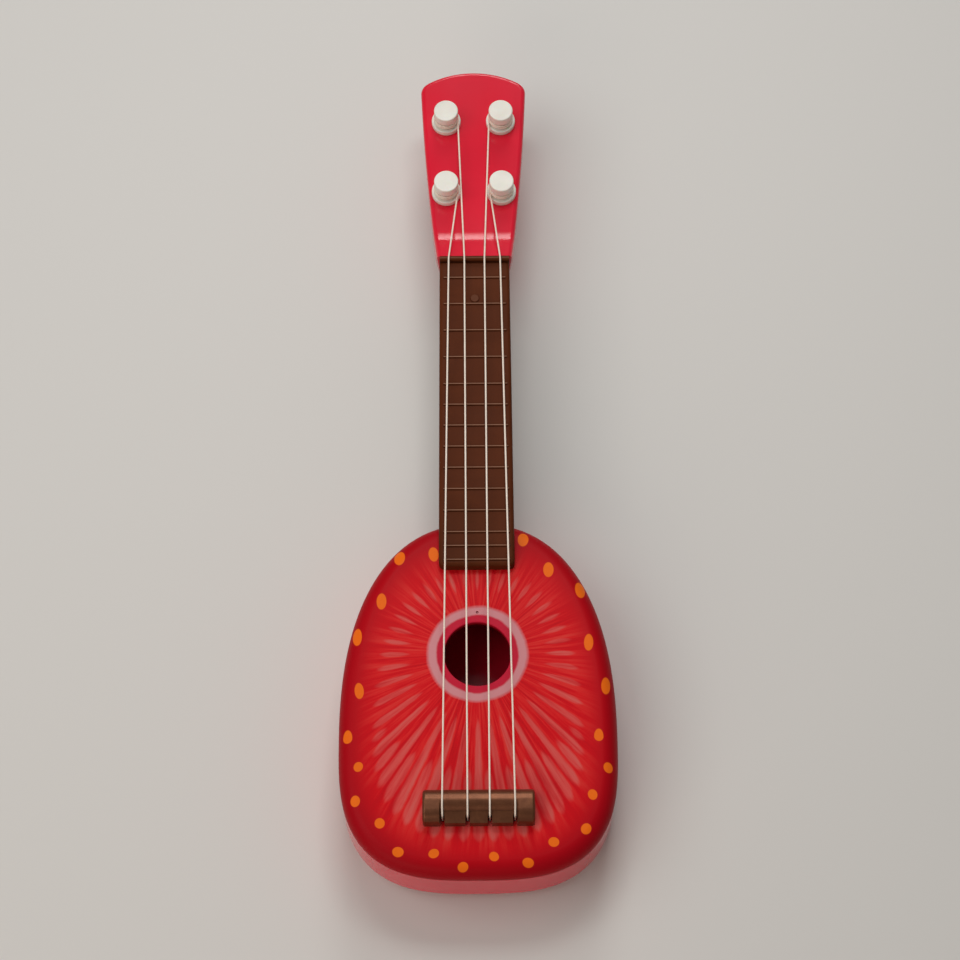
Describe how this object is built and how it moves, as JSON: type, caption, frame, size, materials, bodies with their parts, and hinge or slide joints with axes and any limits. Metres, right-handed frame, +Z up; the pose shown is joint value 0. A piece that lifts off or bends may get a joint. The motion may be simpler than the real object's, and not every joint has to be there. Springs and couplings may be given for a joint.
{
  "type": "toy guitar",
  "caption": "Small plastic toy guitar of the ukulele kind: hollow pear-shaped body with a fruit-slice front, fretted neck, nylon strings and tuning pegs that turn.",
  "frame": {"origin": "under the middle of the whole length, on the plane that the flat back rests on", "axes": "+X to the right, +Y along the neck towards the headstock, +Z up out of the soundboard"},
  "size_m": [0.114, 0.3714, 0.0509],
  "materials": {
    "red_plastic": "glossy moulded",
    "printed_front": "satin, printed",
    "brown_plastic": "satin moulded",
    "bronze_plastic": "pearly moulded",
    "white_plastic": "glossy moulded",
    "nylon": "smooth drawn",
    "screw_steel": "zinc plated"
  },
  "bodies": {
    "guitar": {"body_back": "red_plastic", "soundboard": "printed_front", "body_screws": "screw_steel", "bridge": "bronze_plastic", "bridge_screws": "screw_steel", "fingerboard": "brown_plastic", "neck_back": "brown_plastic", "neck_screws": "screw_steel", "heel_screws": "screw_steel", "headstock": "red_plastic", "headstock_back": "red_plastic", "headstock_screws": "screw_steel", "string_1": "nylon", "string_2": "nylon", "string_3": "nylon", "string_4": "nylon"},
    "tuner_1": {"peg_1": "white_plastic", "peg_washer_1": "screw_steel", "peg_screw_1": "screw_steel"},
    "tuner_2": {"peg_2": "white_plastic", "peg_washer_2": "screw_steel", "peg_screw_2": "screw_steel"},
    "tuner_3": {"peg_3": "white_plastic", "peg_washer_3": "screw_steel", "peg_screw_3": "screw_steel"},
    "tuner_4": {"peg_4": "white_plastic", "peg_washer_4": "screw_steel", "peg_screw_4": "screw_steel"}
  },
  "joints": [
    {"name": "tuner_1_turn", "type": "hinge", "parent": "guitar", "child": "tuner_1", "pos_m": [-0.0122, 0.12275, 0.04], "axis": [0, 0, 1], "continuous": true},
    {"name": "tuner_2_turn", "type": "hinge", "parent": "guitar", "child": "tuner_2", "pos_m": [-0.0122, 0.15875, 0.04], "axis": [0, 0, 1], "continuous": true},
    {"name": "tuner_3_turn", "type": "hinge", "parent": "guitar", "child": "tuner_3", "pos_m": [0.0122, 0.15875, 0.04], "axis": [0, 0, 1], "continuous": true},
    {"name": "tuner_4_turn", "type": "hinge", "parent": "guitar", "child": "tuner_4", "pos_m": [0.0122, 0.12275, 0.04], "axis": [0, 0, 1], "continuous": true}
  ]
}
